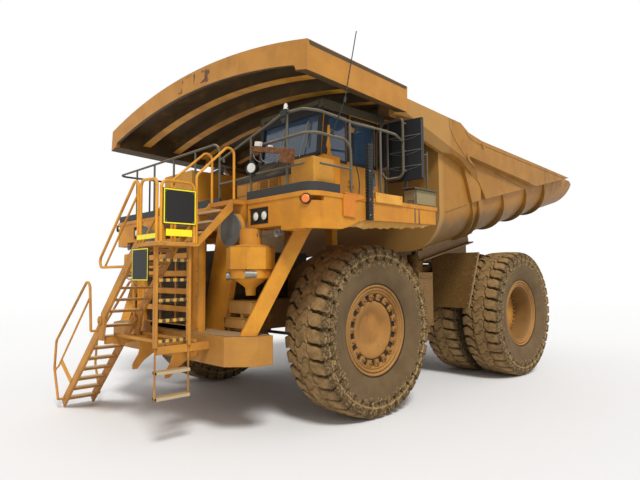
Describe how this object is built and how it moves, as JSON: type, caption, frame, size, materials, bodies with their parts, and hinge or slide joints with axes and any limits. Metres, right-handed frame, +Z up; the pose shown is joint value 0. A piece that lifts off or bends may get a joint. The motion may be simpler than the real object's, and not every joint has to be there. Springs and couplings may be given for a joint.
{
  "type": "rigid mining dump truck",
  "caption": "Rigid two-axle mining dump truck with tipping rock body, arched canopy, offset cab, front access stair and twin rear wheels.",
  "frame": {"origin": "on the ground below the middle of the whole length and width", "axes": "+X to the truck's left (the cab's side), +Y to its tail, +Z up"},
  "size_m": [6.751, 12.3799, 6.2003],
  "materials": {
    "body_paint": "dusty gloss",
    "cab_paint": "gloss",
    "dark_paint": "matt",
    "muddy_paint": "matt",
    "tyre": "dusty",
    "glass": "clear",
    "lamp": "clear",
    "chrome_rod": "polished",
    "cast": "oily",
    "board": "gloss",
    "trim": "matt"
  },
  "bodies": {
    "chassis": {"frame": "body_paint", "front_bumper": "body_paint", "grille": "body_paint", "radiator": "dark_paint", "engine": "cast", "drive_line": "cast", "front_suspension": "body_paint", "rear_axle": "body_paint", "fuel_tank": "body_paint", "hydraulic_tank": "muddy_paint", "deck": "body_paint", "deck_struts": "body_paint", "deck_rails": "dark_paint", "access_stair": "body_paint", "stair_rails": "cab_paint", "number_boards": "board", "air_cleaners": "dark_paint", "lamps": "lamp", "cab_shell": "cab_paint", "cab_glass": "glass", "cab_interior": "trim", "cab_lockers": "cab_paint", "mirrors": "dark_paint", "mast": "dark_paint", "rock_guards": "muddy_paint"},
    "dump_body": {"bed_shell": "body_paint", "bed_ribs": "body_paint", "canopy": "body_paint", "bed_bolsters": "body_paint"},
    "hoist_barrels": {"hoist_barrels": "body_paint"},
    "hoist_middles": {"hoist_middles": "chrome_rod"},
    "hoist_rods": {"hoist_rods": "chrome_rod"},
    "knuckle_left": {"knuckle_left": "body_paint"},
    "knuckle_right": {"knuckle_right": "body_paint"},
    "tie_rod": {"tie_rod": "body_paint"},
    "wheel_front_left": {"front_tyre_left": "tyre", "front_rim_left": "body_paint"},
    "wheel_front_right": {"front_tyre_right": "tyre", "front_rim_right": "body_paint"},
    "wheels_rear_left": {"rear_tyres_left": "tyre", "rear_rims_left": "body_paint"},
    "wheels_rear_right": {"rear_tyres_right": "tyre", "rear_rims_right": "body_paint"},
    "door_left": {"door_left": "cab_paint", "door_glass_left": "glass"},
    "door_right": {"door_right": "cab_paint", "door_glass_right": "glass"},
    "lower_stair": {"lower_stair": "body_paint"}
  },
  "joints": [
    {"name": "bed_tilt", "type": "hinge", "parent": "chassis", "child": "dump_body", "pos_m": [0, 4.1, 2.35], "axis": [-1, 0, 0], "range_deg": [0, 48]},
    {"name": "hoist_barrel_tilt", "type": "hinge", "parent": "chassis", "child": "hoist_barrels", "pos_m": [0, 0.75, 1.25], "axis": [-1, 0, 0], "range_deg": [0, 20.29]},
    {"name": "hoist_middle_slide", "type": "slide", "parent": "hoist_barrels", "child": "hoist_middles", "axis": [0, 0.0546, 0.9985], "range_m": [0, 1.264]},
    {"name": "hoist_rod_slide", "type": "slide", "parent": "hoist_middles", "child": "hoist_rods", "axis": [0, 0.0546, 0.9985], "range_m": [0, 1.264]},
    {"name": "steer_left", "type": "hinge", "parent": "chassis", "child": "knuckle_left", "pos_m": [1.65, -2.5, 1.48516], "axis": [0, 0, 1], "range_deg": [-38, 38]},
    {"name": "steer_right", "type": "hinge", "parent": "chassis", "child": "knuckle_right", "pos_m": [-1.65, -2.5, 1.48516], "axis": [0, 0, 1], "range_deg": [-38.5, 38.5]},
    {"name": "tie_rod_turn", "type": "hinge", "parent": "knuckle_left", "child": "tie_rod", "pos_m": [1.65, -2.05, 1.18], "axis": [0, 0, 1], "range_deg": [-38.5, 38.5]},
    {"name": "front_left_spin", "type": "hinge", "parent": "knuckle_left", "child": "wheel_front_left", "pos_m": [2.34, -2.5, 1.48516], "axis": [1, 0, 0], "continuous": true},
    {"name": "front_right_spin", "type": "hinge", "parent": "knuckle_right", "child": "wheel_front_right", "pos_m": [-2.34, -2.5, 1.48516], "axis": [1, 0, 0], "continuous": true},
    {"name": "rear_left_spin", "type": "hinge", "parent": "chassis", "child": "wheels_rear_left", "pos_m": [2.45, 2.85, 1.48516], "axis": [1, 0, 0], "continuous": true},
    {"name": "rear_right_spin", "type": "hinge", "parent": "chassis", "child": "wheels_rear_right", "pos_m": [-2.45, 2.85, 1.48516], "axis": [1, 0, 0], "continuous": true},
    {"name": "door_left_swing", "type": "hinge", "parent": "chassis", "child": "door_left", "pos_m": [2.522, -2.925, 4.5], "axis": [0, 0, -1], "range_deg": [0, 58]},
    {"name": "door_right_swing", "type": "hinge", "parent": "chassis", "child": "door_right", "pos_m": [0.828, -2.925, 4.5], "axis": [0, 0, 1], "range_deg": [0, 80]},
    {"name": "lower_stair_fold", "type": "hinge", "parent": "chassis", "child": "lower_stair", "pos_m": [-0.23, -5.775, 1.72], "axis": [0, 1, 0], "range_deg": [0, 70]}
  ],
  "couplings": [
    {"joint": "hoist_barrel_tilt", "follows": "bed_tilt", "ratio": 0.41863},
    {"joint": "hoist_middle_slide", "follows": "bed_tilt", "m_per_rad": 1.5064},
    {"joint": "hoist_rod_slide", "follows": "bed_tilt", "m_per_rad": 1.5064},
    {"joint": "steer_right", "follows": "steer_left", "ratio": 1},
    {"joint": "tie_rod_turn", "follows": "steer_left", "ratio": -1}
  ]
}
